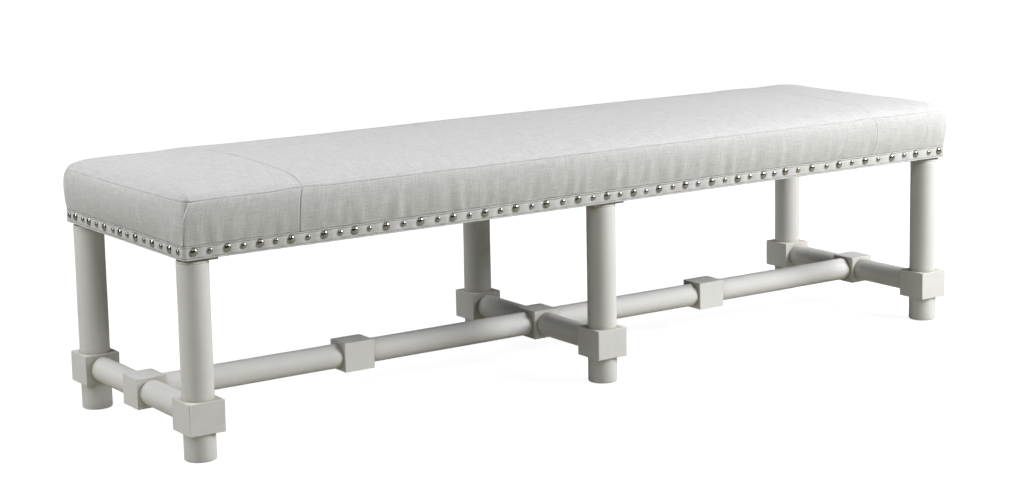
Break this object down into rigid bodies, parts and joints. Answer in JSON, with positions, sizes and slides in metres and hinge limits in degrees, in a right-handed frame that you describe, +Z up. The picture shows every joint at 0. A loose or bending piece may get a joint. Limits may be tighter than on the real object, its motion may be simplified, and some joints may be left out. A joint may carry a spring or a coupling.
{
  "type": "upholstered bench",
  "caption": "Long upholstered bench with a crowned fabric seat, nail-trimmed tape band, round painted posts through square blocks, and H-shaped stretchers joined by a long centre stretcher.",
  "frame": {"origin": "on the floor, under the middle of the seat", "axes": "+Z up, X along the bench's length, -Y to the front (the long side that faces the viewer)"},
  "size_m": [1.8842, 0.5422, 0.51],
  "materials": {
    "painted_wood": "satin",
    "cover_fabric": "matte",
    "tape_fabric": "matte",
    "nailhead": "satin",
    "frame_wood": "matte",
    "plywood": "matte",
    "plate_steel": "satin",
    "nylon": "matte",
    "foam": "matte",
    "wadding": "matte",
    "dust_cloth": "matte"
  },
  "bodies": {
    "root": {"leg_post_front_left": "painted_wood", "leg_block_front_left": "painted_wood", "leg_plate_front_left": "plate_steel", "leg_bolt_front_left": "plate_steel", "glide_front_left": "nylon", "leg_post_front_middle": "painted_wood", "leg_block_front_middle": "painted_wood", "leg_plate_front_middle": "plate_steel", "leg_bolt_front_middle": "plate_steel", "glide_front_middle": "nylon", "leg_post_front_right": "painted_wood", "leg_block_front_right": "painted_wood", "leg_plate_front_right": "plate_steel", "leg_bolt_front_right": "plate_steel", "glide_front_right": "nylon", "leg_post_back_left": "painted_wood", "leg_block_back_left": "painted_wood", "leg_plate_back_left": "plate_steel", "leg_bolt_back_left": "plate_steel", "glide_back_left": "nylon", "leg_post_back_middle": "painted_wood", "leg_block_back_middle": "painted_wood", "leg_plate_back_middle": "plate_steel", "leg_bolt_back_middle": "plate_steel", "glide_back_middle": "nylon", "leg_post_back_right": "painted_wood", "leg_block_back_right": "painted_wood", "leg_plate_back_right": "plate_steel", "leg_bolt_back_right": "plate_steel", "glide_back_right": "nylon", "cross_stretcher_left_front": "painted_wood", "cross_stretcher_left_back": "painted_wood", "centre_block_left": "painted_wood", "cross_stretcher_middle_front": "painted_wood", "cross_stretcher_middle_back": "painted_wood", "centre_block_middle": "painted_wood", "cross_stretcher_right_front": "painted_wood", "cross_stretcher_right_back": "painted_wood", "centre_block_right": "painted_wood", "long_stretcher_1_left_end": "painted_wood", "long_stretcher_2_left_inner": "painted_wood", "long_stretcher_3_right_inner": "painted_wood", "long_stretcher_4_right_end": "painted_wood", "stretcher_block_left": "painted_wood", "stretcher_block_right": "painted_wood", "seat_rail_front": "frame_wood", "seat_rail_back": "frame_wood", "seat_rail_left_end": "frame_wood", "seat_rail_right_end": "frame_wood", "seat_cross_rail_left": "frame_wood", "seat_cross_rail_middle": "frame_wood", "seat_cross_rail_right": "frame_wood", "seat_deck": "plywood", "seat_foam": "foam", "seat_wadding": "wadding", "seat_cover": "cover_fabric", "trim_tape": "tape_fabric", "dust_cover": "dust_cloth"}
  },
  "joints": []
}
